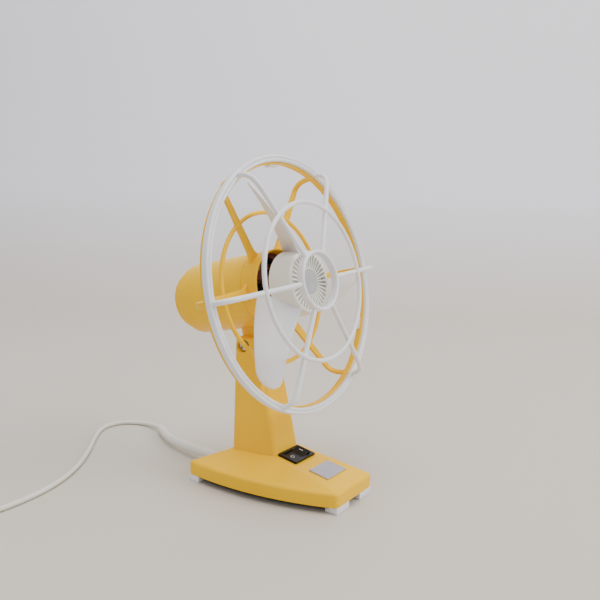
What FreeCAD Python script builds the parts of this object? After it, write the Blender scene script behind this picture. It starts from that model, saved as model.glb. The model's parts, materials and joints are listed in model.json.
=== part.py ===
import FreeCAD, Part
import math
import os
import re
import Sketcher
from FreeCAD import Placement, Rotation, Vector

# Desk fan on a wedge base: millimetres, +Z up, the table at z = 0, the fan faces -Y and
# x = 0 is its plane of symmetry; y = 0 is halfway between the base front and the rear cap.
# Head pieces are drawn with the fan axis along Y, the ring plane at y = 0 and the
# tilt pivot below the axis; HEAD then lifts them onto the column at the rest tilt.

SIZES = {
    # tilt joint and head position
    "tilt_angle": 12.6, "pivot_y": 14.95, "pivot_z": 130.5, "axis_rise": 51.6, "ring_reach": 64.1,
    # gaps: running fit of a shaft, gap between moving parts, slack of a fixed fit
    "run_fit": 0.05, "part_gap": 0.35, "slack": 0.15,
    # base
    "base_front_y": -106.49, "base_front_half": 29, "base_rear_y": 43.95, "base_rear_half": 62,
    "base_side_bow": 10.2, "base_rear_bow": 1.5, "base_right_half": 46,
    "base_right_bow": 0.8, "base_right_y": 20.6, "rim_low": 6.1, "rim_high": 19.4, "deck_z": 29,
    "base_wall": 3, "plate_thick": 2, "plate_inset": 3, "foot_long": 20, "foot_deep": 13,
    "weight_long": 58, "weight_deep": 38, "weight_high": 8, "weight_y": -1,
    "screw_radius": 1.75, "screw_head": 3.4, "screw_head_high": 1.6, "boss_radius": 4,
    # column
    "column_front_y": -28.35, "column_front_half": 17.8, "column_rear_y": 16.95, "column_rear_half": 31,
    "top_front_y": -0.45, "top_front_half": 14.2, "top_rear_y": 23.95, "top_rear_half": 21.8,
    "column_top": 138, "column_wall": 3, "column_floor": 4, "column_core_z": 104, "column_round": 4,
    "wire_hole": 5, "wire_y": 0, "fork_slot": 15.1, "fork_depth": 20,
    # tilt lug, bolt and nut
    "lug_radius": 9.5, "bolt_radius": 3, "bolt_head": 4.6, "bolt_head_high": 3.4, "bolt_seat": 15.4,
    "seat_radius": 6.4, "nut_flats": 8, "nut_high": 3, "washer_radius": 5.4, "washer_thick": 0.8,
    # motor housing
    "housing_radius": 36, "housing_wall": 2, "housing_front": 41, "housing_rear": 127,
    "shoulder_long": 6, "shoulder_radius": 31.5, "cap_radius": 30.6, "cap_long": 7, "cap_dome": 2,
    # motor
    "stator_front": 46, "stator_long": 30, "stator_bore": 17.4, "coil_inner": 18.6, "coil_outer": 24.6,
    "coil_long": 8, "rotor_gap": 0.4, "shaft_radius": 3, "shaft_front": -5, "shaft_rear": 99,
    "bracket_thick": 3, "bracket_gap": 3, "bush_radius": 6, "bush_long": 10, "tie_circle": 28.6,
    "tie_radius": 1.5, "tie_head": 2.9, "tie_head_high": 2.2, "coil_window": 9,
    # guards
    "ring_outer": 120, "ring_inner": 113.6, "ring_half": 3, "groove_half": 0.9, "groove_deep": 1.3,
    "spoke_count": 6, "spoke_turn": 3.5, "spoke_radius": 2.3, "front_centre_y": -26.2,
    "front_centre_outer": 28, "centre_wall": 3.2, "centre_long": 7.4, "front_mid_y": -20.3,
    "mid_radius": 72.4, "mid_bar": 2.1, "front_bend_y": -15.5, "bend_radius": 112.5, "bend_round": 17,
    "rear_outer": 117.6, "rear_inner": 112.4, "rear_ring_front": 3, "rear_ring_long": 4.4,
    "rear_mid_y": 29, "rear_root_y": 34.5, "rear_bend_y": 22.5, "rear_bend_round": 11,
    "rear_spoke_thick": 3.4, "rear_spoke_root": 11,
    "rear_spoke_tip": 4.8, "collar_front": 21.75, "collar_wall": 2,
    "clip_gap": 0.3, "clip_wide": 13, "clip_thick": 1.6, "clip_turn": -3.5,
    # rotor, spinner and blades
    "hub_front": -12.8, "hub_rear": 10.4, "hub_face": 26, "hub_edge": 29.6, "hub_base": 31.2,
    "hub_wall": 2.2, "hub_round": 3.4, "hub_boss": 7, "badge_disc": 11.7, "disc_thick": 1.2,
    "blade_count": 3, "blade_turn": 108.5, "blade_tip": 101, "blade_thick": 2, "blade_chord": 38,
    "blade_tip_chord": 27, "root_pitch": 58, "tip_pitch": 45, "root_skew": -10, "tip_skew": 12,
    "blade_y": 5, "blade_round": 9,
    # switch and name plate
    "bezel_long": 30.2, "bezel_wide": 21.6, "bezel_high": 2.4, "bezel_y": -39.5, "switch_long": 26.8,
    "switch_wide": 18.4, "switch_deep": 12, "rocker_long": 23.2, "rocker_wide": 15.2,
    "rocker_slope": 10, "rocker_swing": 10, "rocker_low": 4.2, "rocker_pin": 1.4, "pivot_lift": 1,
    "plate_long": 30, "plate_wide": 21.6, "badge_high": 1.2, "badge_y": -75.95,
    # cord
    "cord_radius": 2.25, "sleeve_radius": 4.7, "gland_x": -26, "gland_z": 12.5,
    "gland_slack": 0.5, "floor_gap": 0.35, "coil_radius": 27, "coil_rows": 3, "coil_high": 9.1,
    "plug_long": 36, "plug_wide": 19, "plug_high": 14, "plug_round": 4, "pin_radius": 2,
    "pin_long": 19, "pin_pitch": 9.5,
}

doc = FreeCAD.newDocument("desk_fan")
sheet = doc.addObject("Spreadsheet::Sheet", "dims")
for row, (alias, number) in enumerate(SIZES.items(), start=1):
    sheet.set("A%d" % row, alias)
    sheet.set("B%d" % row, str(number))
    sheet.setAlias("B%d" % row, alias)
doc.recompute()


def bound(text):
    """Expression text with each size name pointed at the sheet."""
    return re.sub(r"[a-z][a-z_]+", lambda m: "dims." + m.group() if m.group() in SIZES else m.group(), text)


def value(text):
    """Number that an expression of size names stands for."""
    return float(sheet.evalExpression(bound(text)))


def spot(x, y, z):
    return Vector(value(x), value(y), value(z))


TILT = Rotation(Vector(1, 0, 0), -value("tilt_angle"))
PIVOT = spot("0", "pivot_y", "pivot_z")
LUG_EYE = spot("0", "ring_reach", "-axis_rise")
HEAD = Placement(PIVOT - TILT.multVec(LUG_EYE), TILT)
DECK_SLOPE = math.degrees(math.atan2(value("deck_z - rim_high"), value("column_front_y - base_front_y")))
DECK = Rotation(Vector(1, 0, 0), DECK_SLOPE)
ALONG_X = Rotation(Vector(0, 1, 0), 90)
ALONG_Y = Rotation(Vector(1, 0, 0), -90)
FLAT = Rotation()


def deck_place(y):
    """Frame on the sloping deck, Z square to it."""
    rise = math.tan(math.radians(DECK_SLOPE))
    return Placement(Vector(0, value(y), value("rim_high") + (value(y) - value("base_front_y")) * rise), DECK)


NODES = []


def node(piece, name):
    """Name a finished sub-part; its label names its file."""
    piece.Label = name
    NODES.append(piece)
    return piece


# ---------------------------------------------------------------- drawing helpers

def solid(kind, name, at=("0", "0", "0"), turn=FLAT, frame=None, **lengths):
    """Part primitive whose sizes follow the sheet."""
    piece = doc.addObject("Part::" + kind, name)
    for prop, text in lengths.items():
        piece.setExpression(prop, bound(text))
    local = Placement(spot(*at), turn)
    piece.Placement = frame.multiply(local) if frame else local
    return piece


def block(name, x, y, z, frame=None):
    """Box between two expressions on each axis."""
    return solid("Box", name, (x[0], y[0], z[0]), FLAT, frame, Length="%s - (%s)" % (x[1], x[0]),
                 Width="%s - (%s)" % (y[1], y[0]), Height="%s - (%s)" % (z[1], z[0]))


def fuse(name, pieces):
    joined = doc.addObject("Part::MultiFuse", name)
    joined.Shapes = pieces
    joined.Refine = False
    return joined


def cut(name, base, tools):
    """Base less every tool."""
    result = doc.addObject("Part::Cut", name)
    result.Base = base
    result.Tool = tools[0] if len(tools) == 1 else fuse(name + "_tools", tools)
    result.Refine = False
    return result


def common(name, first, second):
    result = doc.addObject("Part::Common", name)
    result.Base = first
    result.Tool = second
    return result


def made(name, shape, place=None):
    """Feature for a shape that no primitive or body draws."""
    feature = doc.addObject("Part::Feature", name)
    feature.Shape = shape
    feature.Placement = place if place else Placement()
    return feature


def plane_of(body, role):
    return next(item for item in body.Origin.OriginFeatures if item.Role == role)


def outline(body, name, role, corners, bows=None, lift="0"):
    """Closed sketch through the corners, anticlockwise; bows gives the bulge of a side by its start."""
    bows = bows or {}
    sketch = body.newObject("Sketcher::SketchObject", name)
    sketch.AttachmentSupport = [(plane_of(body, role), "")]
    sketch.MapMode = "FlatFace"
    sketch.setExpression("AttachmentOffset.Base.z", bound(lift))
    spots = [spot(x, y, "0") for x, y in corners]
    count = len(spots)
    for index, start in enumerate(spots):
        end = spots[(index + 1) % count]
        if index in bows:
            chord = end - start
            bulge = Vector(chord.y, -chord.x, 0).normalize() * value(bows[index])
            sketch.addGeometry(Part.Arc(start, (start + end) * 0.5 + bulge, end))
        else:
            sketch.addGeometry(Part.LineSegment(start, end))
    for index in range(count):
        sketch.addConstraint(Sketcher.Constraint("Coincident", index, 2, (index + 1) % count, 1))
    for index, corner in enumerate(corners):
        for kind, text, axis in (("DistanceX", corner[0], -2), ("DistanceY", corner[1], -1)):
            number = value(text)
            if abs(number) < 1e-6:
                sketch.addConstraint(Sketcher.Constraint("PointOnObject", index, 1, axis))
                continue
            ends = (-1, 1, index, 1) if number > 0 else (index, 1, -1, 1)
            place = sketch.addConstraint(Sketcher.Constraint(kind, *ends, abs(number)))
            sign = text if number > 0 else "-(%s)" % text
            sketch.setExpression("Constraints[%d]" % place, bound(sign))
    for index, bow in bows.items():
        (x0, y0), (x1, y1) = corners[index], corners[(index + 1) % count]
        chord = "((%s - (%s))^2 + (%s - (%s))^2)" % (x1, x0, y1, y0)
        radius = "(%s / 4 + (%s)^2) / (2 * (%s))" % (chord, bow, bow)
        place = sketch.addConstraint(Sketcher.Constraint("Radius", index, value(radius)))
        sketch.setExpression("Constraints[%d]" % place, bound(radius))
    return sketch


def turned(name, profile, place=None):
    """Body of revolution about its Y axis from (y, radius) corners."""
    body = doc.addObject("PartDesign::Body", name)
    sketch = outline(body, name + "_profile", "YZ_Plane", profile)
    spin = body.newObject("PartDesign::Revolution", name + "_turn")
    spin.Profile = sketch
    spin.ReferenceAxis = (sketch, ["H_Axis"])
    spin.Angle = 360
    body.Placement = place if place else Placement()
    return body


def slab(name, role, corners, lift, length, bows=None, place=None):
    """Body padded from one outline."""
    body = doc.addObject("PartDesign::Body", name)
    pad = body.newObject("PartDesign::Pad", name + "_pad")
    pad.Profile = outline(body, name + "_outline", role, corners, bows, lift)
    pad.setExpression("Length", bound(length))
    body.Placement = place if place else Placement()
    return body


def rounded_path(points, rounds):
    """Straight runs joined by tangent arcs; rounds gives each inner corner's radius."""
    edges = []
    start = points[0]
    for index, radius in enumerate(rounds, start=1):
        corner = points[index]
        before = (points[index - 1] - corner).normalize()
        after = (points[index + 1] - corner).normalize()
        half = (math.pi - before.getAngle(after)) / 2
        reach = radius * math.tan(half)
        bisector = (before + after).normalize()
        middle = corner + bisector * (radius / math.cos(half) - radius)
        edges.append(Part.makeLine(start, corner + before * reach))
        edges.append(Part.Arc(corner + before * reach, middle, corner + after * reach).toShape())
        start = corner + after * reach
    edges.append(Part.makeLine(start, points[-1]))
    return Part.Wire(edges)


def rod(wire, radius, end_radius=None):
    """Round bar along a wire of lines and arcs."""
    first = wire.Edges[0]
    direction = first.tangentAt(first.FirstParameter)
    circle = Part.Wire(Part.makeCircle(radius, wire.Vertexes[0].Point, direction))
    return wire.makePipeShell([circle], True, True)


# ---------------------------------------------------------------- base

def base_corners(inset):
    """Rim outline: narrow straight front, bowed left side, straighter right side and slanting rear."""
    front = "base_front_y + %s" % inset
    rear = "base_rear_y - %s" % inset
    return [("-(base_front_half - %s)" % inset, front), ("base_front_half - %s" % inset, front),
            ("base_right_half - %s" % inset, "base_right_y - %s" % inset),
            ("-(base_rear_half - %s)" % inset, rear)]


SIDE_BOWS = {1: "base_right_bow", 2: "base_rear_bow", 3: "base_side_bow"}


def base_form(name, inset):
    """Upright rim below a hipped deck that rises to the column's foot."""
    body = doc.addObject("PartDesign::Body", name)
    pad = body.newObject("PartDesign::Pad", name + "_rim")
    pad.Profile = outline(body, name + "_low", "XY_Plane", base_corners(inset), SIDE_BOWS, "rim_low")
    pad.setExpression("Length", bound("rim_high - rim_low - %s" % inset))
    deck = [("-(column_front_half - %s)" % inset, "column_front_y + %s" % inset),
            ("column_front_half - %s" % inset, "column_front_y + %s" % inset),
            ("column_rear_half - %s" % inset, "column_rear_y - %s" % inset),
            ("-(column_rear_half - %s)" % inset, "column_rear_y - %s" % inset)]
    loft = body.newObject("PartDesign::AdditiveLoft", name + "_deck")
    loft.Profile = outline(body, name + "_mid", "XY_Plane", base_corners(inset), SIDE_BOWS,
                           "rim_high - %s" % inset)
    loft.Sections = [outline(body, name + "_top", "XY_Plane", deck, None, "deck_z - %s" % inset)]
    loft.Ruled = True
    return body


SCREW_SPOTS = [("-(base_front_half - 9)", "base_front_y + 30"), ("base_front_half - 9", "base_front_y + 30"),
               ("base_right_half - 10", "base_right_y - 17"), ("-(base_rear_half - 12)", "base_rear_y - 24")]
COLUMN_SCREWS = [("-9", "column_front_y + 8"), ("9", "column_front_y + 8"),
                 ("20", "column_rear_y - 8"), ("-20", "column_rear_y - 8")]
PLATE_LOW = "rim_low - plate_thick"


def build_base():
    hull = base_form("base_hull", "0")
    cavity = base_form("base_cavity", "base_wall")
    bosses = [solid("Cylinder", "base_boss", (x, y, "rim_low"), Radius="boss_radius",
                    Height="rim_high - rim_low - 1") for x, y in SCREW_SPOTS]
    holes = [solid("Cylinder", "base_thread", (x, y, "rim_low - 1"), Radius="screw_radius",
                   Height="10") for x, y in SCREW_SPOTS]
    holes += [solid("Cylinder", "column_screw_hole", (x, y, "deck_z - base_wall - 3"),
                    Radius="screw_radius", Height="base_wall + 6") for x, y in COLUMN_SCREWS]
    holes.append(solid("Cylinder", "wire_way", ("0", "wire_y", "deck_z - base_wall - 3"),
                       Radius="wire_hole", Height="base_wall + 6"))
    switch_frame = deck_place("bezel_y")
    holes.append(block("switch_window", ("-switch_long / 2 - slack", "switch_long / 2 + slack"),
                       ("-switch_wide / 2 - slack", "switch_wide / 2 + slack"), ("-9", "4"), switch_frame))
    holes.append(solid("Cylinder", "gland_hole", ("gland_x", "base_rear_y - 12", "gland_z"), ALONG_Y,
                       Radius="sleeve_radius + gland_slack", Height="30"))
    hollow = cut("base_open", hull, [cavity])
    node(cut("base_cut", fuse("base_with_bosses", [hollow] + bosses), holes), "base_shell")

    corner_boxes = []
    for side in (-1, 1):
        near = "%d * base_front_half" % side
        inner = "%d * (base_front_half - foot_long)" % side
        low, high = (near, inner) if side < 0 else (inner, near)
        corner_boxes.append(("front_foot", (low, high), ("base_front_y - 1", "base_front_y + foot_deep")))
    corner_boxes.append(("rear_foot", ("-(base_rear_half + 2)", "-(base_rear_half - foot_long)"),
                         ("base_rear_y - foot_deep", "base_rear_y + 9")))
    corner_boxes.append(("rear_foot", ("base_right_half - foot_long", "base_right_half + 2"),
                         ("base_right_y - foot_deep", "base_right_y + 9")))
    boxes = []
    for kind, x, y in corner_boxes:
        side = "left" if value(x[0]) + value(x[1]) < 0 else "right"
        box = block(kind + "_box", x, y, ("0", "rim_low"))
        boxes.append(box)
        prism = slab(kind + "_prism", "XY_Plane", base_corners("0"), "0", "rim_low", SIDE_BOWS)
        node(common(kind + "_cut", prism, box), "%s_%s" % (kind, side))
    plate = slab("plate_blank", "XY_Plane", base_corners("plate_inset"), PLATE_LOW, "plate_thick",
                 SIDE_BOWS)
    clear = [solid("Cylinder", "plate_hole", (x, y, "0"), Radius="screw_radius + slack",
                   Height="rim_low + 1") for x, y in SCREW_SPOTS]
    node(cut("plate_cut", plate, boxes + clear), "base_plate")
    node(block("base_weight", ("-weight_long / 2", "weight_long / 2"),
               ("weight_y - weight_deep / 2", "weight_y + weight_deep / 2"),
               ("rim_low", "rim_low + weight_high")), "base_weight")
    screws = []
    for x, y in SCREW_SPOTS:
        shank = solid("Cylinder", "screw_shank", (x, y, PLATE_LOW), Radius="screw_radius",
                      Height="rim_low + 8 - (%s)" % PLATE_LOW)
        head = solid("Cylinder", "screw_cap", (x, y, "%s - screw_head_high" % PLATE_LOW),
                     Radius="screw_head", Height="screw_head_high")
        screws.append(fuse("base_screw", [shank, head]))
    node(fuse("base_screw_set", screws), "base_screws")


# ---------------------------------------------------------------- column

def softened(corners, reach, bows):
    """Corners cut back by reach along both sides, with the bow that rounds each cut."""
    cut_corners = []
    rounds = {}
    for index, (x, y) in enumerate(corners):
        for px, py in (corners[index - 1], corners[(index + 1) % len(corners)]):
            length = "sqrt((%s - (%s))^2 + (%s - (%s))^2)" % (px, x, py, y)
            cut_corners.append(("%s + (%s - (%s)) * %s / %s" % (x, px, x, reach, length),
                                "%s + (%s - (%s)) * %s / %s" % (y, py, y, reach, length)))
        rounds[2 * index] = "%s * %s" % (bows[index], reach)
    return cut_corners, rounds


def column_form(name, inset):
    """Four-sided post, narrow in front and wide behind, tapering upwards."""
    body = doc.addObject("PartDesign::Body", name)
    loft = body.newObject("PartDesign::AdditiveLoft", name + "_loft")
    sections = []
    for tag, level, front, rear in (("foot", "deck_z", "column_front", "column_rear"),
                                    ("head", "column_top", "top_front", "top_rear")):
        corners = [("-(%s_half - %s)" % (front, inset), "%s_y + %s" % (front, inset)),
                   ("%s_half - %s" % (front, inset), "%s_y + %s" % (front, inset)),
                   ("%s_half - %s" % (rear, inset), "%s_y - %s" % (rear, inset)),
                   ("-(%s_half - %s)" % (rear, inset), "%s_y - %s" % (rear, inset))]
        corners, rounds = softened(corners, "column_round", ("0.25", "0.25", "0.29", "0.29"))
        sections.append(outline(body, name + "_" + tag, "XY_Plane", corners, rounds, level))
    loft.Profile = sections[0]
    loft.Sections = sections[1:]
    loft.Ruled = True
    return body


def build_column():
    post = column_form("column_post", "0")
    limit = block("hollow_limit", ("-60", "60"), ("-60", "60"), ("deck_z + column_floor", "column_core_z"))
    hollow = common("column_hollow", column_form("column_core", "column_wall"), limit)
    tools = [hollow]
    tools.append(block("fork_gap", ("-fork_slot / 2", "fork_slot / 2"), ("-60", "60"),
                       ("pivot_z - fork_depth", "column_top + 5")))
    tools.append(solid("Cylinder", "bolt_bore", ("-40", "pivot_y", "pivot_z"), ALONG_X,
                       Radius="bolt_radius + run_fit", Height="80"))
    tools.append(solid("Cylinder", "head_seat", ("-40", "pivot_y", "pivot_z"), ALONG_X,
                       Radius="seat_radius", Height="40 - bolt_seat"))
    tools.append(solid("Cylinder", "nut_seat", ("bolt_seat", "pivot_y", "pivot_z"), ALONG_X,
                       Radius="seat_radius", Height="40"))
    tools += [solid("Cylinder", "column_thread", (x, y, "deck_z - 1"), Radius="screw_radius",
                    Height="column_floor + 2") for x, y in COLUMN_SCREWS]
    tools.append(solid("Cylinder", "column_wire_hole", ("0", "wire_y", "deck_z - 1"), Radius="wire_hole",
                       Height="column_floor + 2"))
    tools.append(solid("Cylinder", "fork_wire_hole", ("0", "pivot_y", "column_core_z - 1"),
                       Radius="wire_hole", Height="pivot_z - fork_depth - column_core_z + 2"))
    node(cut("column_cut", post, tools), "column")
    screws = []
    for x, y in COLUMN_SCREWS:
        shank = solid("Cylinder", "column_shank", (x, y, "deck_z - base_wall"), Radius="screw_radius",
                      Height="base_wall + column_floor - 0.5")
        head = solid("Cylinder", "column_screw_cap", (x, y, "deck_z - base_wall - screw_head_high"),
                     Radius="screw_head", Height="screw_head_high")
        screws.append(fuse("column_screw", [shank, head]))
    node(fuse("column_screw_set", screws), "column_screws")

    washers = {"bolt_washer": "-bolt_seat", "nut_washer": "bolt_seat - washer_thick"}
    shank = solid("Cylinder", "bolt_shank", ("-bolt_seat", "pivot_y", "pivot_z"), ALONG_X,
                  Radius="bolt_radius", Height="2 * bolt_seat + nut_high + 1")
    head = solid("Cylinder", "bolt_cap", ("-bolt_seat - bolt_head_high", "pivot_y", "pivot_z"), ALONG_X,
                 Radius="bolt_head", Height="bolt_head_high")
    node(fuse("bolt_body", [shank, head]), "tilt_bolt")
    nut = solid("Prism", "nut_blank", ("bolt_seat + washer_thick", "pivot_y", "pivot_z"), ALONG_X,
                Circumradius="nut_flats / 2 / cos(30)", Height="nut_high")
    bore = solid("Cylinder", "nut_thread", ("bolt_seat", "pivot_y", "pivot_z"), ALONG_X,
                 Radius="bolt_radius", Height="nut_high + 3")
    node(cut("nut_cut", nut, [bore]), "tilt_nut")
    disc = solid("Cylinder", "washer_blank", ("bolt_seat", "pivot_y", "pivot_z"), ALONG_X,
                 Radius="washer_radius", Height="washer_thick")
    hole = solid("Cylinder", "washer_hole", ("bolt_seat - 1", "pivot_y", "pivot_z"), ALONG_X,
                 Radius="bolt_radius + run_fit", Height="washer_thick + 2")
    node(cut("washer_cut", disc, [hole]), "tilt_washer")


# ---------------------------------------------------------------- head: housing and motor

def build_housing():
    inner = "housing_radius - housing_wall"
    shell = turned("housing_shell", [
        ("housing_front", "0"), ("housing_rear + shoulder_long", "0"),
        ("housing_rear + shoulder_long", "shoulder_radius"), ("housing_rear", "housing_radius"),
        ("housing_front", "housing_radius")])
    bore = turned("housing_bore", [
        ("housing_front - 1", "0"), ("housing_rear + shoulder_long - housing_wall", "0"),
        ("housing_rear + shoulder_long - housing_wall", "shoulder_radius - housing_wall - 1"),
        ("housing_rear - 1", inner), ("housing_front - 1", inner)])
    eye = solid("Cylinder", "lug_round", ("-fork_slot / 2 + part_gap", "ring_reach", "-axis_rise"), ALONG_X,
                Radius="lug_radius", Height="fork_slot - 2 * part_gap")
    web = block("lug_web", ("-fork_slot / 2 + part_gap", "fork_slot / 2 - part_gap"),
                ("ring_reach - lug_radius", "ring_reach + lug_radius"), ("-axis_rise", "-housing_radius + 4"))
    pin = solid("Cylinder", "lug_bore", ("-20", "ring_reach", "-axis_rise"), ALONG_X,
                Radius="bolt_radius + run_fit", Height="40")
    way = solid("Cylinder", "lug_wire_hole", ("0", "ring_reach + 6", "-axis_rise + 12"), FLAT,
                Radius="2.4", Height="12")
    vent_tools = [block("rear_vent", ("-12", "12"), ("housing_rear + 1", "housing_rear + 9"),
                        ("%d * 8 - 1.6" % step, "%d * 8 + 1.6" % step)) for step in (-2, -1, 0, 1, 2)]
    body = cut("housing_cut", fuse("housing_blank", [shell, eye, web]), [bore, pin, way] + vent_tools)
    body.Placement = HEAD
    node(body, "motor_housing")
    back = "housing_rear + shoulder_long"
    cap = turned("cap_blank", [
        (back, "0"), (back + " + cap_long", "0"), (back + " + cap_long", "cap_radius - cap_dome"),
        (back + " + cap_long - cap_dome", "cap_radius"), (back, "cap_radius")])
    hollow = turned("cap_hollow", [
        (back + " - 1", "0"), (back + " + cap_long - 2", "0"),
        (back + " + cap_long - 2", "cap_radius - 4"), (back + " - 1", "cap_radius - 4")])
    cap_cut = cut("cap_cut", cap, [hollow])
    cap_cut.Placement = HEAD
    node(cap_cut, "rear_cap")


def around(count, radius, start=45):
    """Points of a bolt circle as expressions of the head's X and Z."""
    return [("(%s) * cos(%g)" % (radius, start + 360 / count * step),
             "(%s) * sin(%g)" % (radius, start + 360 / count * step)) for step in range(count)]


def bracket(name, front, bush_front):
    """Plate that holds a bearing bush and four tie screws."""
    plate = solid("Cylinder", name + "_disc", ("0", front, "0"), ALONG_Y, HEAD,
                  Radius="housing_radius - housing_wall - slack", Height="bracket_thick")
    holes = [solid("Cylinder", name + "_tie", (x, "%s - 1" % front, z), ALONG_Y, HEAD,
                   Radius="tie_radius + run_fit", Height="bracket_thick + 2")
             for x, z in around(4, "tie_circle")]
    holes += [solid("Cylinder", name + "_window", (x, "%s - 1" % front, z), ALONG_Y, HEAD,
                    Radius="coil_window", Height="bracket_thick + 2")
              for x, z in around(4, "coil_outer - 4", 0)]
    holes.append(solid("Cylinder", name + "_seat", ("0", "%s - 1" % front, "0"), ALONG_Y, HEAD,
                       Radius="bush_radius", Height="bracket_thick + 2"))
    node(cut(name + "_cut", plate, holes), name)
    bush = solid("Cylinder", name + "_bush", ("0", bush_front, "0"), ALONG_Y, HEAD,
                 Radius="bush_radius", Height="bush_long")
    bore = solid("Cylinder", name + "_bore", ("0", "%s - 1" % bush_front, "0"), ALONG_Y, HEAD,
                 Radius="shaft_radius + run_fit", Height="bush_long + 2")
    node(cut(name + "_bush_cut", bush, [bore]), name.replace("bracket", "bush"))


FRONT_BRACKET = "stator_front - coil_long - bracket_gap - bracket_thick"
REAR_BRACKET = "stator_front + stator_long + coil_long + bracket_gap"


def build_motor():
    stator = solid("Cylinder", "stator_blank", ("0", "stator_front", "0"), ALONG_Y, HEAD,
                   Radius="housing_radius - housing_wall - slack", Height="stator_long")
    tools = [solid("Cylinder", "stator_hole", ("0", "stator_front - 1", "0"), ALONG_Y, HEAD,
                   Radius="stator_bore", Height="stator_long + 2")]
    tools += [solid("Cylinder", "stator_tie", (x, "stator_front - 1", z), ALONG_Y, HEAD,
                    Radius="tie_radius + run_fit", Height="stator_long + 2")
              for x, z in around(4, "tie_circle")]
    node(cut("stator_cut", stator, tools), "stator_stack")
    for name, front in (("front_winding", "stator_front - coil_long"),
                        ("rear_winding", "stator_front + stator_long")):
        node(turned(name + "_ring", [(front, "coil_inner"), (front + " + coil_long", "coil_inner"),
                                     (front + " + coil_long", "coil_outer"), (front, "coil_outer")],
                    HEAD), name)
    bracket("front_bracket", FRONT_BRACKET, FRONT_BRACKET + " - 3")
    bracket("rear_bracket", REAR_BRACKET, REAR_BRACKET + " - 2")
    ties = []
    for x, z in around(4, "tie_circle"):
        head = solid("Cylinder", "tie_cap", (x, FRONT_BRACKET + " - tie_head_high", z), ALONG_Y, HEAD,
                     Radius="tie_head", Height="tie_head_high")
        shank = solid("Cylinder", "tie_shank", (x, FRONT_BRACKET, z), ALONG_Y, HEAD, Radius="tie_radius",
                      Height="%s + bracket_thick + 4 - (%s)" % (REAR_BRACKET, FRONT_BRACKET))
        nut = solid("Cylinder", "tie_nut", (x, REAR_BRACKET + " + bracket_thick", z), ALONG_Y, HEAD,
                    Radius="tie_head", Height="tie_head_high")
        ties.append(fuse("tie_rod", [head, shank, nut]))
    node(fuse("tie_rod_set", ties), "motor_tie_screws")

    node(turned("shaft_turn", [("shaft_front", "0"), ("shaft_rear", "0"),
                               ("shaft_rear", "shaft_radius"), ("shaft_front", "shaft_radius")], HEAD),
         "motor_shaft")
    rotor = [("stator_front", "shaft_radius"), ("stator_front + stator_long", "shaft_radius"),
             ("stator_front + stator_long", "stator_bore - rotor_gap"),
             ("stator_front", "stator_bore - rotor_gap")]
    node(turned("rotor_turn", rotor, HEAD), "rotor_core")


# ---------------------------------------------------------------- head: guards

def radial(points, angle):
    """Points given as (radius, y), turned to an angle about the fan axis."""
    return [Vector(r * math.cos(angle), y, r * math.sin(angle)) for r, y in points]


def hoop(profile):
    """Ring about the Y axis from (y, radius) corners."""
    corners = [Vector(0, y, r) for y, r in profile]
    return Part.Face(Part.makePolygon(corners + corners[:1])).revolve(Vector(), Vector(0, 1, 0), 360)


def round_hoop(radius, y, bar):
    """Round-section ring about the Y axis."""
    return Part.makeTorus(radius, bar, Vector(0, y, 0), Vector(0, 1, 0))


def spoke_angles():
    count = int(value("spoke_count"))
    return [math.radians(value("spoke_turn") + 360 / count * step) for step in range(count)]


def build_front_guard():
    half, groove, deep = value("ring_half"), value("groove_half"), value("groove_deep")
    outer, inner = value("ring_outer"), value("ring_inner")
    middle = (outer + inner) / 2
    soft = 0.9
    rim = hoop([(half, inner + soft), (half, outer - soft), (half - soft, outer), (soft - half, outer),
                (-half, outer - soft), (-half, middle + groove), (deep - half, middle),
                (-half, middle - groove), (-half, inner + soft), (soft - half, inner),
                (half - soft, inner)])
    centre_y, centre_r = value("front_centre_y"), value("front_centre_outer")
    long, wall = value("centre_long"), value("centre_wall")
    centre = hoop([(centre_y, centre_r - wall), (centre_y + long, centre_r - wall),
                   (centre_y + long, centre_r), (centre_y, centre_r)])
    mid = round_hoop(value("mid_radius"), value("front_mid_y"), value("mid_bar"))
    bars = []
    for angle in spoke_angles():
        start = (centre_r - wall / 2, centre_y + long / 2)
        bend = (value("bend_radius"), value("front_bend_y"))
        path = radial([start, bend, (middle, 0)], angle)
        bars.append(rod(rounded_path(path, [value("bend_round")]), value("spoke_radius")))
    guard = rim.multiFuse([centre, mid] + bars)
    node(made("front_guard_shape", guard, HEAD), "front_guard")


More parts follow.
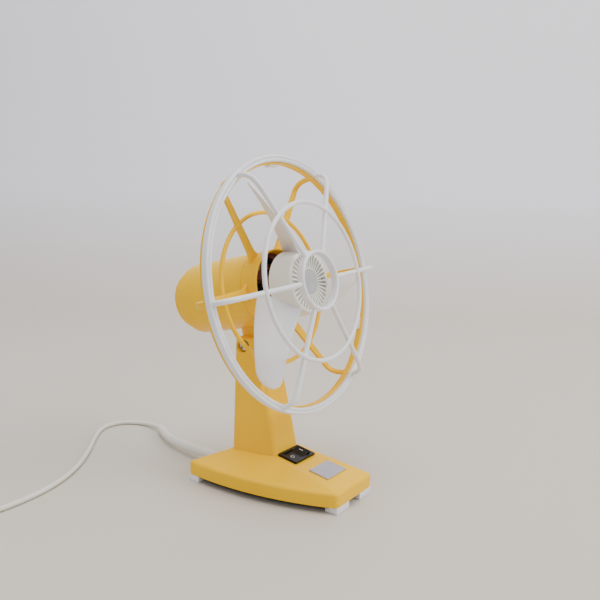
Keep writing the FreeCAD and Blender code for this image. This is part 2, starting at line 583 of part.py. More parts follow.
def flat_spoke(angle):
    """Tapered flat rib from the collar to the rear ring."""
    thick = value("rear_spoke_thick")
    root_r, mid_r = value("housing_radius - collar_wall / 2"), value("mid_radius")
    root_y, mid_y = value("rear_root_y") - thick / 2, value("rear_mid_y") - thick / 2
    bend_y, bend_round = value("rear_bend_y"), value("rear_bend_round")
    ring_y, ring_r = value("rear_ring_front + rear_ring_long / 2"), value("(rear_outer + rear_inner) / 2")
    bend_r = value("bend_radius") + thick / 2
    inside = [(root_r, root_y), (mid_r, mid_y), (bend_r - thick, bend_y), (ring_r - thick / 2, ring_y)]
    outside = [(ring_r + thick / 2, ring_y), (bend_r, bend_y + thick), (mid_r, mid_y + thick),
               (root_r, root_y + thick)]
    inside, outside = [[Vector(r, y, -20) for r, y in points] for points in (inside, outside)]
    side = [rounded_path(inside, [60, bend_round]), Part.makeLine(inside[-1], outside[0]),
            rounded_path(outside, [bend_round + thick, 60]), Part.makeLine(outside[-1], inside[0])]
    loop = Part.Wire([edge for run in side for edge in run.Edges])
    rib = Part.Face(loop).extrude(Vector(0, 0, 40))
    root_w, tip_w = value("rear_spoke_root") / 2, value("rear_spoke_tip") / 2
    plan = [Vector(root_r - 1, -5, -root_w), Vector(ring_r + thick, -5, -tip_w),
            Vector(ring_r + thick, -5, tip_w), Vector(root_r - 1, -5, root_w)]
    taper = Part.Face(Part.makePolygon(plan + plan[:1])).extrude(Vector(0, 60, 0))
    rib = rib.common(taper)
    rib.rotate(Vector(), Vector(0, 1, 0), -math.degrees(angle))
    return rib


def build_rear_guard():
    front, long = value("rear_ring_front"), value("rear_ring_long")
    rim = hoop([(front, value("rear_inner")), (front + long, value("rear_inner")),
                (front + long, value("rear_outer")), (front, value("rear_outer"))])
    mid = round_hoop(value("mid_radius"), value("rear_mid_y"), value("mid_bar"))
    radius = value("housing_radius")
    collar = hoop([(value("collar_front"), radius - value("collar_wall")),
                   (value("housing_front"), radius - value("collar_wall")),
                   (value("housing_front"), radius), (value("collar_front"), radius)])
    guard = rim.multiFuse([collar, mid] + [flat_spoke(angle) for angle in spoke_angles()])
    node(made("rear_guard_shape", guard, HEAD), "rear_guard")
    clips = []
    gap, thick, wide = value("clip_gap"), value("clip_thick"), value("clip_wide")
    inner, lip_y, back = value("rear_inner") - gap, value("ring_half"), front + long
    track = hoop([(front - 1, inner), (back, inner), (back, value("rear_outer")),
                  (front - 1, value("rear_outer"))])
    for step in range(3):
        strap = Part.makeBox(wide, back - lip_y + thick + gap, thick, Vector(-wide / 2, lip_y, inner - thick))
        hook = Part.makeBox(wide, thick, thick + 3, Vector(-wide / 2, back + gap, inner - thick))
        clip = strap.fuse(hook).cut(track)
        clip.rotate(Vector(), Vector(0, 1, 0), value("clip_turn") + 120 * step)
        clips.append(clip)
    node(made("guard_clip_set", Part.makeCompound(clips), HEAD), "guard_clips")


# ---------------------------------------------------------------- head: spinner and blades

def build_hub():
    wall = "hub_wall"
    skin = turned("hub_skin", [
        ("hub_front", "badge_disc"), ("hub_front + disc_thick", "badge_disc"),
        ("hub_front + disc_thick", "shaft_radius"), ("hub_front + disc_thick + hub_wall", "shaft_radius"),
        ("hub_front + disc_thick + hub_wall + 14", "shaft_radius"),
        ("hub_front + disc_thick + hub_wall + 14", "hub_boss"),
        ("hub_front + disc_thick + hub_wall", "hub_boss"),
        ("hub_front + disc_thick + hub_wall", "hub_face - 1"),
        ("hub_front + hub_round + 1", "hub_edge - hub_wall"), ("hub_rear", "hub_base - hub_wall"),
        ("hub_rear", "hub_base"), ("hub_front + hub_round", "hub_edge"),
        ("hub_front + hub_round * 0.35", "hub_face + 2.2"), ("hub_front", "hub_face")], HEAD)
    node(skin, "fan_hub")
    disc = [("hub_front", "0"), ("hub_front + disc_thick", "0"),
            ("hub_front + disc_thick", "badge_disc - slack"), ("hub_front", "badge_disc - slack")]
    node(turned("hub_disc_turn", disc, HEAD), "hub_disc")


def blade_shape():
    """Twisted, swept blade along +X from inside the hub to its rounded tip."""
    tip, thick, soft = value("blade_tip"), value("blade_thick"), value("blade_round")
    root, last = value("hub_edge") - 4, tip - 2.5
    wires = []
    for share in (0, 0.14, 0.28, 0.42, 0.56, 0.7, 0.82, 0.9, 0.95, 0.98, 1):
        radius = root + (last - root) * share
        short = max(soft - (last - radius), 0)
        width = (value("blade_chord") + (value("blade_tip_chord") - value("blade_chord")) * share) / 2
        width -= soft - math.sqrt(soft ** 2 - short ** 2)
        skew = value("root_skew") + (value("tip_skew") - value("root_skew")) * share
        pitch = math.radians(value("root_pitch") + (value("tip_pitch") - value("root_pitch")) * share)
        ahead = Vector(0, math.sin(pitch), -math.cos(pitch))
        lift = Vector(0, -math.cos(pitch), -math.sin(pitch))
        points = []
        for side, along in ((1, -1), (1, 0), (1, 1), (-1, 1), (-1, 0), (-1, -1)):
            camber = (1 - along * along) * width * 0.1
            points.append(Vector(radius, value("blade_y"), skew) + ahead * (along * width)
                          + lift * (camber + side * thick / 2))
        wires.append(Part.makePolygon(points + points[:1]))
    return Part.makeLoft(wires, True, True)


def build_blades():
    count = int(value("blade_count"))
    root = hoop([(-40, 0), (40, 0), (40, value("hub_base")), (value("hub_rear"), value("hub_base")),
                 (value("hub_front + hub_round"), value("hub_edge")), (-40, value("hub_edge"))])
    blade = blade_shape().cut(root)
    for step in range(count):
        turn = value("blade_turn") + 360 / count * step
        place = HEAD.multiply(Placement(Vector(), Rotation(Vector(0, 1, 0), -turn)))
        node(made("blade_shape_%d" % (step + 1), blade, place), "fan_blade_%d" % (step + 1))


# ---------------------------------------------------------------- switch and name plate

def build_switch():
    frame = deck_place("bezel_y")
    flange = block("bezel_flange", ("-bezel_long / 2", "bezel_long / 2"),
                   ("-bezel_wide / 2", "bezel_wide / 2"), ("0", "bezel_high"), frame)
    can = block("switch_can", ("-switch_long / 2", "switch_long / 2"),
                ("-switch_wide / 2", "switch_wide / 2"), ("-switch_deep", "0"), frame)
    well = block("switch_well", ("-rocker_long / 2 - 0.6", "rocker_long / 2 + 0.6"),
                 ("-rocker_wide / 2 - part_gap", "rocker_wide / 2 + part_gap"),
                 ("-switch_deep + 2", "bezel_high + 1"), frame)
    pin = solid("Cylinder", "pin_hole", ("0", "-switch_wide / 2 - 1", "pivot_lift - 2"), ALONG_Y, frame,
                Radius="rocker_pin + run_fit", Height="switch_wide + 2")
    node(cut("switch_cut", fuse("switch_blank", [flange, can]), [well, pin]), "switch_body")
    rise = "rocker_long / 2 * tan(rocker_slope)"
    low = "-rocker_low - 2"
    profile = [("-rocker_long / 2 + 3", low), ("rocker_long / 2 - 3", low), ("rocker_long / 2", "-2"),
               ("rocker_long / 2", "0.4 + " + rise), ("0", "0.4"), ("-rocker_long / 2", "0.4 + " + rise),
               ("-rocker_long / 2", "-2")]
    key = slab("rocker_key", "XZ_Plane", profile, "-rocker_wide / 2", "rocker_wide")
    bar = solid("Cylinder", "rocker_bar", ("0", "0.5 - switch_wide / 2", "-2"), ALONG_Y,
                Radius="rocker_pin", Height="switch_wide - 1")
    rocker = fuse("rocker_body", [key, bar])
    swing = Placement(Vector(), Rotation(Vector(0, 1, 0), -value("rocker_swing")), Vector(0, 0, -2))
    rocker.Placement = frame.multiply(Placement(spot("0", "0", "pivot_lift"), FLAT)).multiply(swing)
    node(rocker, "switch_rocker")
    tabs = [block("switch_tab", ("%d * 8 - 0.4" % side, "%d * 8 + 0.4" % side), ("-2.4", "2.4"),
                  ("-switch_deep - 5", "-switch_deep"), frame) for side in (-1, 0, 1)]
    node(fuse("switch_tab_set", tabs), "switch_terminals")
    node(block("name_plate_block", ("-plate_long / 2", "plate_long / 2"),
               ("-plate_wide / 2", "plate_wide / 2"), ("0", "badge_high"), deck_place("badge_y")),
         "name_plate")


# ---------------------------------------------------------------- cord

SLEEVE_ROUTE = [(-26, 35.6, 12.5), (-24.5, 83.95, 10.5), (-17, 123.95, 8), (1, 159.95, 6)]
CORD_ROUTE = [(1, 159.95, 6), (7, 179.95, 3.4), (1, 202.95, 2.6), (-15, 218.95, 2.6),
              (-38, 217.95, 2.6), (-61, 197.95, 2.6), (-84, 173.95, 2.6), (-109, 150.95, 2.6),
              (-138, 131.95, 2.6), (-170, 120.95, 2.6), (-203, 118.1, 2.6), (-238, 121.1, 2.6),
              (-276, 121.45, 2.6)]
COIL_CENTRE = Vector(-276, 89.95, 0)
LEAD_ROUTE = [(-307.5, 89.95, 7.1), (-307, 66.95, 6.8), (-307.4, 42.95, 7.1)]


def route_rounds(points):
    """Radius of each inner corner: 0.45 of the shorter run over the tangent of half the turn."""
    rounds = []
    for index in range(1, len(points) - 1):
        before, after = points[index - 1] - points[index], points[index + 1] - points[index]
        half = (math.pi - before.getAngle(after)) / 2
        rounds.append(0.45 * min(before.Length, after.Length) / math.tan(half))
    return rounds


def tube(name, route, radius):
    points = [Vector(*point) for point in route]
    rounds = route_rounds(points)
    wire = rounded_path(points, rounds)
    shape = rod(wire, radius)
    share = shape.Volume / (math.pi * radius ** 2 * wire.Length)
    print(name, "length %.1f" % wire.Length, "volume share %.4f" % share,
          "radii", " ".join("%.0f" % r for r in rounds))
    return shape


def build_cord():
    sleeve = tube("sleeve", SLEEVE_ROUTE, value("sleeve_radius"))
    node(made("sleeve_shape", sleeve), "strain_relief")

    spread = value("coil_rows * cord_radius")
    base = COIL_CENTRE + Vector(0, 0, value("floor_gap"))
    coil = Part.makeCylinder(value("coil_radius") + spread, value("coil_high"), base)
    coil = coil.cut(Part.makeCylinder(value("coil_radius") - spread, value("coil_high"), base))
    cord = tube("cord", CORD_ROUTE, value("cord_radius"))
    node(made("cord_shape", cord.cut(coil).cut(sleeve)), "cord")
    node(made("coil_shape", coil), "cord_coil")

    face = Vector(*LEAD_ROUTE[-1])
    plug = doc.addObject("Part::Box", "plug_box")
    plug.setExpression("Length", bound("plug_wide"))
    plug.setExpression("Width", bound("plug_long"))
    plug.setExpression("Height", bound("plug_high"))
    plug.Placement = Placement(face - spot("plug_wide / 2", "plug_long", "plug_high / 2"), FLAT)
    body = doc.addObject("Part::Fillet", "plug_round")
    body.Base = plug
    doc.recompute()
    body.Edges = [(index, value("plug_round"), value("plug_round"))
                  for index, edge in enumerate(plug.Shape.Edges, start=1)
                  if abs(edge.Vertexes[0].Y - edge.Vertexes[1].Y) > 1]
    node(body, "plug_body")
    lead = tube("lead", LEAD_ROUTE, value("cord_radius"))
    node(made("lead_shape", lead.cut(coil).cut(plug.Shape)), "plug_lead")
    pins = [Part.makeCylinder(value("pin_radius"), value("pin_long"),
                              face + spot("%d * pin_pitch / 2" % side, "-plug_long", "0"), Vector(0, -1, 0))
            for side in (-1, 1)]
    node(made("pin_set", Part.makeCompound(pins)), "plug_pins")


build_base()
build_column()
build_housing()
build_motor()
build_front_guard()
build_rear_guard()
build_hub()
build_blades()
build_switch()
build_cord()
doc.recompute()

broken = [item.Name for item in doc.Objects if {"Invalid", "Error"} & set(item.State)]
broken += [piece.Label for piece in NODES if piece.Shape.isNull() or not piece.Shape.isValid()]
if broken:
    raise RuntimeError("not built: " + ", ".join(broken))
os.makedirs("parts", exist_ok=True)
for piece in NODES:
    piece.Shape.exportStep("parts/%s.step" % piece.Label)
print(len(NODES), "nodes written")
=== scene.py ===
import json
import math

import bmesh
import bpy
from mathutils import Matrix, Vector


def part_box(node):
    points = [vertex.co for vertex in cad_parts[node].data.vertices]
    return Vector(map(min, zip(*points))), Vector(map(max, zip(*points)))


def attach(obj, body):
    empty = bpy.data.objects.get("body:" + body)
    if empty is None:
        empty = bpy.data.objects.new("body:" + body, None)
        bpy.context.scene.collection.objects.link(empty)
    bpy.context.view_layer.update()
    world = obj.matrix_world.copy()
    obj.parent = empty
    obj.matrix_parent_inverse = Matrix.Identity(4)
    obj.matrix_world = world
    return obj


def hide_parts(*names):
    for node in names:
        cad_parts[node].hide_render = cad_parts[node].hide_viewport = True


# Desk fan. The fan faces -Y, the head and the column stand on x = 0 and the table is z = 0.
# The pieces' sizes are written in millimetres, which MM turns into metres; the studio's and
# the lights' are in metres.

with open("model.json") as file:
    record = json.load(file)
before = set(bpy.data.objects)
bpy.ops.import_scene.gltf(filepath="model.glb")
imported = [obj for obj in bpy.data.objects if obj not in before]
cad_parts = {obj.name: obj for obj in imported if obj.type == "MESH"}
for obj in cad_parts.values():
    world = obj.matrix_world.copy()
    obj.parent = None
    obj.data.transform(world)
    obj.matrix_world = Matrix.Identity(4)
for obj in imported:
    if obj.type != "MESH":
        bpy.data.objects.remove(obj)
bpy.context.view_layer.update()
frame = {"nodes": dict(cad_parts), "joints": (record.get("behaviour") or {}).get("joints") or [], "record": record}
MM = 0.001


# ---------------------------------------------------------------- camera, floor and light

def look_matrix(yaw, pitch, roll):
    """Camera axes for a heading turned from +Y towards +X, a dip below the horizon and a roll."""
    ahead = Vector((math.sin(yaw) * math.cos(pitch), math.cos(yaw) * math.cos(pitch),
                    -math.sin(pitch)))
    right = Vector((math.cos(yaw), -math.sin(yaw), 0))
    up = right.cross(ahead)
    side = right * math.cos(roll) + up * math.sin(roll)
    top = up * math.cos(roll) - right * math.sin(roll)
    return Matrix((side, top, -ahead)).transposed()


def build_camera():
    """Near view from the front left, a little above the table."""
    lens = bpy.data.cameras.new("camera")
    lens.sensor_width = 36
    lens.lens = 36
    camera = bpy.data.objects.new("camera", lens)
    place = Matrix.Translation(Vector((-445.4, -365.9, 261.4)) * MM)
    camera.matrix_world = place @ look_matrix(0.936, 0.147, 0.031).to_4x4()
    bpy.context.collection.objects.link(camera)
    bpy.context.scene.camera = camera


def area_light(name, place, target, size, power, tint=(1, 1, 1)):
    """Round soft box in metres and watts, turned to face its target."""
    lamp = bpy.data.lights.new(name, "AREA")
    lamp.shape = "DISK"
    lamp.size = size
    lamp.energy = power
    lamp.color = tint
    holder = bpy.data.objects.new(name, lamp)
    holder.location = place
    holder.rotation_euler = (Vector(target) - Vector(place)).to_track_quat("-Z", "Y").to_euler()
    bpy.context.collection.objects.link(holder)


def build_studio():
    """Pale floor that curves up into a wall, and soft light from the front right and above."""
    reach, back, wall_height = 3.0, 1.6, 3.0
    bend_radius, sweep_turn = 0.9, math.radians(-53.6)
    bm = bmesh.new()
    front_edge = [bm.verts.new((side * reach, -reach, 0)) for side in (-1, 1)]
    edges = [bm.edges.new(front_edge)]
    for step in ((0, reach + back, 0), (0, 0, wall_height)):
        grown = bmesh.ops.extrude_edge_only(bm, edges=edges)["geom"]
        verts = [item for item in grown if isinstance(item, bmesh.types.BMVert)]
        bmesh.ops.translate(bm, verts=verts, vec=step)
        edges = [item for item in grown if isinstance(item, bmesh.types.BMEdge)
                 and all(vert in verts for vert in item.verts)]
    bmesh.ops.rotate(bm, verts=bm.verts, cent=(0, 0, 0), matrix=Matrix.Rotation(sweep_turn, 3, "Z"))
    mesh = bpy.data.meshes.new("studio_sweep")
    bm.to_mesh(mesh)
    bm.free()
    sweep = bpy.data.objects.new("studio_sweep", mesh)
    bend = sweep.modifiers.new("bend", "BEVEL")
    bend.width = bend_radius
    bend.segments = 16
    mesh.materials.append(painted_backdrop())
    mesh.polygons.foreach_set("use_smooth", [True] * len(mesh.polygons))
    bpy.context.collection.objects.link(sweep)
    target = (0, 0, 0.15)
    area_light("key", (0.9, -1.9, 1.7), target, 2.0, 54, (1, 0.98, 0.95))
    area_light("fill", (-1.8, -0.7, 1.2), target, 2.2, 5, (0.95, 0.97, 1))
    area_light("top", (-0.2, 0.2, 2.3), target, 2.0, 38)
    world = bpy.data.worlds.new("studio")
    world.use_nodes = True
    world.node_tree.nodes["Background"].inputs["Color"].default_value = srgb("E4E4EA")
    world.node_tree.nodes["Background"].inputs["Strength"].default_value = 0.68
    bpy.context.scene.world = world


# ---------------------------------------------------------------- material nodes

def srgb(code):
    """Linear colour of an sRGB hex code."""
    parts = [int(code[place:place + 2], 16) / 255 for place in (0, 2, 4)]
    return [p / 12.92 if p <= 0.04045 else ((p + 0.055) / 1.055) ** 2.4 for p in parts] + [1]


def add(tree, kind, sockets=None, links=None, stops=None, **settings):
    """Node with its settings, socket values, incoming links and, on a ramp, its stops."""
    item = tree.nodes.new(kind)
    for name, setting in settings.items():
        setattr(item, name, setting)
    for name, number in (sockets or {}).items():
        item.inputs[name].default_value = number
    for name, (source, output) in (links or {}).items():
        tree.links.new(source.outputs[output], item.inputs[name])
    if stops:
        ramp = item.color_ramp
        while len(ramp.elements) < len(stops):
            ramp.elements.new(1)
        for element, (place, code) in zip(ramp.elements, stops):
            element.position = place
            element.color = srgb(code)
    return item


def blank(name, sockets):
    """Material with a Principled shader, its tree and the object's own coordinates."""
    material = bpy.data.materials.new(name)
    material.use_nodes = True
    tree = material.node_tree
    shader = tree.nodes["Principled BSDF"]
    for socket, number in sockets.items():
        shader.inputs[socket].default_value = number
    return material, tree, shader, add(tree, "ShaderNodeTexCoord")


def wire(tree, shader, sources):
    """Leads each node's output to the shader's socket of that name."""
    for socket, (source, output) in sources.items():
        tree.links.new(source.outputs[output], shader.inputs[socket])


def per_metre(size_mm):
    """Texture scale that gives a pattern of that size."""
    return 1 / (size_mm * MM)


WAVE_STEP = 6.283                      # puts a wave's bands 1.97 times the given size apart

MADE = {}


def once(maker):
    """Each material is made the first time it is asked for."""
    def fetch():
        if maker.__name__ not in MADE:
            MADE[maker.__name__] = maker()
        return MADE[maker.__name__]
    return fetch


# ---------------------------------------------------------------- plastics

def moulded(name, light, deep, rough, grain_mm=1.3, grain_depth=0.03, shine=0.5):
    """Injection-moulded plastic: faint colour drift, orange peel from the tool, uneven gloss."""
    material, tree, shader, place = blank(name, {"IOR": 1.54, "Specular IOR Level": shine})
    drift = add(tree, "ShaderNodeTexNoise",
                {"Scale": per_metre(38), "Detail": 3.0, "Roughness": 0.55},
                {"Vector": (place, "Object")})
    tone = add(tree, "ShaderNodeValToRGB", None, {"Fac": (drift, "Fac")},
               [(0.3, deep), (0.7, light)])
    smear = add(tree, "ShaderNodeTexNoise",
                {"Scale": per_metre(9), "Detail": 4.0, "Roughness": 0.6},
                {"Vector": (place, "Object")})
    gloss = add(tree, "ShaderNodeMapRange",
                {"From Min": 0.3, "From Max": 0.7, "To Min": rough - 0.04, "To Max": rough + 0.06},
                {"Value": (smear, "Fac")})
    peel = add(tree, "ShaderNodeTexNoise", {"Scale": per_metre(grain_mm), "Detail": 2.0},
               {"Vector": (place, "Object")})
    relief = add(tree, "ShaderNodeBump", {"Strength": 0.35, "Distance": grain_depth * MM},
                 {"Height": (peel, "Fac")})
    wire(tree, shader, {"Base Color": (tone, "Color"), "Roughness": (gloss, "Result"),
                        "Normal": (relief, "Normal")})
    return material


@once
def yellow_abs():
    """ABS coloured right through: strong warm yellow with broad, soft, weak highlights."""
    return moulded("yellow_abs", "FFCA00", "FAC200", 0.3, shine=0.16)


@once
def white_polystyrene():
    """White high-impact polystyrene: cool white with a satin shine."""
    return moulded("white_polystyrene", "F2F3F6", "E9EAEE", 0.36)


@once
def cream_polystyrene():
    """The same polystyrene, yellowed a little with age."""
    return moulded("cream_polystyrene", "F3F3EB", "EBEAE0", 0.34)


@once
def grey_polystyrene():
    """Polystyrene tinted a flat mid grey, duller than the white."""
    return moulded("grey_polystyrene", "B9B9BB", "ABABAE", 0.4)


@once
def black_phenolic():
    """Black switch moulding, semi-gloss with a fine spark-eroded grain."""
    return moulded("black_phenolic", "1B1B1C", "121213", 0.33, 0.5, 0.05, shine=0.2)


@once
def phenolic_and_painted_glow():
    """Dark reddish brown bearing brackets, half matt, their brown lightened to paint the orange-lit glow inside
    the housing's mouth.
    """
    return moulded("phenolic_and_painted_glow", "7C3E26", "5E2D1B", 0.5)


@once
def soft_pvc():
    """Flexible PVC of the flex, plug and sleeve: matt with a waxy sheen."""
    return moulded("soft_pvc", "EAE8DF", "DFDCD1", 0.45, 0.8, 0.04)


@once
def white_ink():
    """Pad-printed ink: an even, dull off-white."""
    return moulded("white_ink", "E8E8E4", "DADAD6", 0.5)


# ---------------------------------------------------------------- metals, windings and paint

def metal(name, light, deep, rough, streak_mm, stretch):
    """Bare metal with streaks drawn out along one axis."""
    material, tree, shader, place = blank(name, {"Metallic": 1.0})
    lie = add(tree, "ShaderNodeMapping", {"Scale": stretch}, {"Vector": (place, "Object")})
    streaks = add(tree, "ShaderNodeTexNoise",
                  {"Scale": per_metre(streak_mm), "Detail": 4.0, "Roughness": 0.65},
                  {"Vector": (lie, "Vector")})
    tone = add(tree, "ShaderNodeValToRGB", None, {"Fac": (streaks, "Fac")},
               [(0.32, deep), (0.68, light)])
    gloss = add(tree, "ShaderNodeMapRange",
                {"From Min": 0.3, "From Max": 0.7, "To Min": rough - 0.06, "To Max": rough + 0.08},
                {"Value": (streaks, "Fac")})
    relief = add(tree, "ShaderNodeBump", {"Strength": 0.3, "Distance": 0.02 * MM},
                 {"Height": (streaks, "Fac")})
    wire(tree, shader, {"Base Color": (tone, "Color"), "Roughness": (gloss, "Result"),
                        "Normal": (relief, "Normal")})
    return material


@once
def brushed_aluminium():
    """Anodised aluminium brushed along its length: pale, with fine sideways streaks."""
    return metal("brushed_aluminium", "C9C7CC", "B3B0B7", 0.36, 0.5, (0.06, 1, 1))


@once
def zinc_plated_steel():
    """Bright zinc plating with a faint greenish passivation."""
    return metal("zinc_plated_steel", "C6CAC4", "9FA6A0", 0.3, 2.4, (1, 1, 1))


@once
def ground_steel():
    """Centreless-ground steel shaft: a hard shine with fine grinding lines."""
    return metal("ground_steel", "C2C2C4", "9E9EA2", 0.24, 0.6, (1, 0.1, 1))


@once
def sintered_bronze():
    """Pressed and sintered bronze bush: brown-gold, fine-grained and dull."""
    return metal("sintered_bronze", "B58A52", "8F6A3B", 0.42, 0.7, (1, 1, 1))


@once
def nickel_brass():
    """Nickel-plated brass: pale straw with a sharp shine."""
    return metal("nickel_brass", "CFC7AE", "B5AB8E", 0.25, 1.2, (1, 0.2, 1))


def patterned(name, finish, kind, sockets, stops, strength, depth_mm, **settings):
    """Material whose one pattern gives both its colour and its relief."""
    material, tree, shader, place = blank(name, finish)
    pattern = add(tree, kind, sockets, {"Vector": (place, "Object")}, **settings)
    tone = add(tree, "ShaderNodeValToRGB", None, {"Fac": (pattern, "Fac")}, stops)
    relief = add(tree, "ShaderNodeBump", {"Strength": strength, "Distance": depth_mm * MM},
                 {"Height": (pattern, "Fac")})
    wire(tree, shader, {"Base Color": (tone, "Color"), "Normal": (relief, "Normal")})
    return material


@once
def laminated_steel():
    """Half-millimetre varnished sheets: dark stripes, drawn 1.6 mm apart so that they show."""
    return patterned("laminated_steel", {"Metallic": 0.85, "Roughness": 0.5}, "ShaderNodeTexWave",
                     {"Scale": per_metre(0.8) / WAVE_STEP, "Distortion": 0.6, "Detail": 1.0},
                     [(0.2, "3C3C40"), (0.8, "7C7C80")], 0.5, 0.1, bands_direction="Y")


@once
def enamelled_copper():
    """Varnished copper wire in tight turns: reddish shiny threads, drawn 1.4 mm apart to show."""
    return patterned("enamelled_copper", {"Metallic": 0.7, "Roughness": 0.32}, "ShaderNodeTexWave",
                     {"Scale": per_metre(0.7) / WAVE_STEP, "Distortion": 1.2, "Detail": 2.0},
                     [(0.1, "5A2310"), (0.8, "B4602E")], 0.6, 0.15,
                     wave_type="RINGS", rings_direction="Y")


@once
def cast_iron():
    """Sand-cast ballast: dark, coarse and matt."""
    return patterned("cast_iron", {"Metallic": 0.6, "Roughness": 0.75}, "ShaderNodeTexNoise",
                     {"Scale": per_metre(1.5), "Detail": 5.0, "Roughness": 0.7},
                     [(0.3, "2A2A2B"), (0.7, "454547")], 0.8, 0.3)


@once
def painted_backdrop():
    """Matt paint: a warm pale floor that turns to a cool, almost white wall."""
    material, tree, shader, place = blank("painted_backdrop", {"Roughness": 0.85})
    split = add(tree, "ShaderNodeSeparateXYZ", None, {"Vector": (place, "Object")})
    rise = add(tree, "ShaderNodeMapRange", {"From Min": 0.02, "From Max": 0.9},
               {"Value": (split, "Z")})
    tone = add(tree, "ShaderNodeValToRGB", None, {"Fac": (rise, "Result")},
               [(0.0, "CDC6BA"), (0.35, "E9E8EF"), (1.0, "F4F3FA")])
    wire(tree, shader, {"Base Color": (tone, "Color")})
    return material


# ---------------------------------------------------------------- frames of reference

def joint(name):
    """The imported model's joint of that name."""
    return next(item for item in frame["joints"] if item["name"] == name)


def head_matrix():
    """Fan axis along local Y, rearwards, with the ring plane at y = 0."""
    spin = joint("fan_spin")
    rear = -Vector(spin["axis"]).normalized()
    side = Vector((1, 0, 0))
    up = side.cross(rear)
    return Matrix.Translation(spin["pos_m"]) @ Matrix((side, rear, up)).transposed().to_4x4()


def deck_matrix(centre):
    """Sloping deck at a point, X across and Z square to the deck."""
    along = Vector(joint("switch_rock")["axis"]).normalized()
    side = Vector((1, 0, 0))
    axes = Matrix((side, along, side.cross(along))).transposed()
    return Matrix.Translation(centre) @ axes.to_4x4()


HEAD = head_matrix()


# ---------------------------------------------------------------- making pieces

def finish_mesh(name, mesh, material, body, slot, nodes, bevel=0, segments=3, smooth_angle=35,
                edge_angle=30):
    """Smooth-shaded piece with rounded edges, riding on its body and standing for its nodes."""
    piece = bpy.data.objects.new(name, mesh)
    bpy.context.collection.objects.link(piece)
    mesh.materials.clear()
    mesh.materials.append(material)
    mesh.polygons.foreach_set("use_smooth", [True] * len(mesh.polygons))
    mesh.set_sharp_from_angle(angle=math.radians(smooth_angle))
    if bevel:
        rounding = piece.modifiers.new("rounding", "BEVEL")
        rounding.width = bevel * MM
        rounding.segments = segments
        rounding.limit_method = "ANGLE"
        rounding.angle_limit = math.radians(edge_angle)
        rounding.harden_normals = True
        rounding.use_clamp_overlap = True
    even = piece.modifiers.new("even", "WEIGHTED_NORMAL")
    even.keep_sharp = True
    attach(piece, body)
    if nodes:
        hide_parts(*nodes)
    return piece


def finish_piece(name, bm, material, body, slot, nodes, matrix=Matrix(), **finish):
    """Finished piece from a bmesh that the matrix puts in its place."""
    bmesh.ops.transform(bm, matrix=matrix, verts=bm.verts)
    mesh = bpy.data.meshes.new(name)
    bm.to_mesh(mesh)
    bm.free()
    return finish_mesh(name, mesh, material, body, slot, nodes, **finish)


def merged(node):
    """Copy of a CAD node's mesh with its triangles joined into whole faces."""
    bm = bmesh.new()
    bm.from_mesh(frame["nodes"][node].data)
    bmesh.ops.remove_doubles(bm, verts=bm.verts, dist=0.002 * MM)
    bmesh.ops.dissolve_limit(bm, angle_limit=math.radians(0.6), verts=bm.verts, edges=bm.edges)
    return bm


def softened(node, material, body, slot, bevel, segments=3):
    """CAD node with its edges rounded as a moulding's are."""
    return finish_piece(node + "_soft", merged(node), material, body, slot, [node],
                        bevel=bevel, segments=segments)


def lathe(profile, steps=96):
    """Solid of revolution about Y from (y, radius) corners in millimetres, closed on itself."""
    bm = bmesh.new()
    verts = [bm.verts.new(Vector((radius, y, 0)) * MM) for y, radius in profile]
    edges = [bm.edges.new((vert, verts[(index + 1) % len(verts)]))
             for index, vert in enumerate(verts)]
    bmesh.ops.spin(bm, geom=verts + edges, cent=(0, 0, 0), axis=(0, 1, 0), angle=math.tau,
                   steps=steps, use_merge=True)
    bmesh.ops.remove_doubles(bm, verts=bm.verts, dist=0.0005 * MM)
    bmesh.ops.recalc_face_normals(bm, faces=bm.faces)
    return bm


def arc(centre_y, centre_r, radius, start, end, steps=5):
    """Round stretch of a lathe profile; angles in degrees from +y towards +radius."""
    turns = [math.radians(start + (end - start) * step / steps) for step in range(steps + 1)]
    return [(centre_y + radius * math.cos(turn), centre_r + radius * math.sin(turn))
            for turn in turns]


def bar(name, routes, radius_mm, order=4, rounds=5, resolution=10, swell=None):
    """Round bars on NURBS routes in millimetres; swell multiplies the radius point by point."""
    curve = bpy.data.curves.new(name, "CURVE")
    curve.dimensions = "3D"
    curve.bevel_depth = radius_mm * MM
    curve.bevel_resolution = rounds
    curve.resolution_u = resolution
    curve.use_fill_caps = True
    for route in routes:
        spline = curve.splines.new("NURBS")
        spline.points.add(len(route) - 1)
        for point, place, radius in zip(spline.points, route, swell or [1] * len(route)):
            point.co = (*(Vector(place) * MM), 1)
            point.radius = radius
        spline.order_u = order
        spline.use_endpoint_u = True
    holder = bpy.data.objects.new(name, curve)
    bpy.context.collection.objects.link(holder)
    return holder


def as_mesh(holder):
    """The mesh of a curve object, which is then dropped."""
    mesh = bpy.data.meshes.new_from_object(holder)
    bpy.data.objects.remove(holder)
    return mesh


def drawn(sections):
    """Closed solid through a row of sections with the same number of corners, in millimetres."""
    bm = bmesh.new()
    ring = [bm.verts.new(point * MM) for point in sections[0]]
    face = bm.faces.new(ring)
    for index, section in enumerate(sections[1:]):
        grown = bmesh.ops.extrude_face_region(bm, geom=[face])["geom"]
        if index:
            bmesh.ops.delete(bm, geom=[face], context="FACES_ONLY")
        fresh = [item for item in grown if isinstance(item, bmesh.types.BMVert)]
        face = next(item for item in grown if isinstance(item, bmesh.types.BMFace))
        ring = [min(fresh, key=lambda vert: (vert.co - old.co).length_squared) for old in ring]
        for vert, point in zip(ring, section):
            vert.co = point * MM
    bmesh.ops.recalc_face_normals(bm, faces=bm.faces)
    return bm


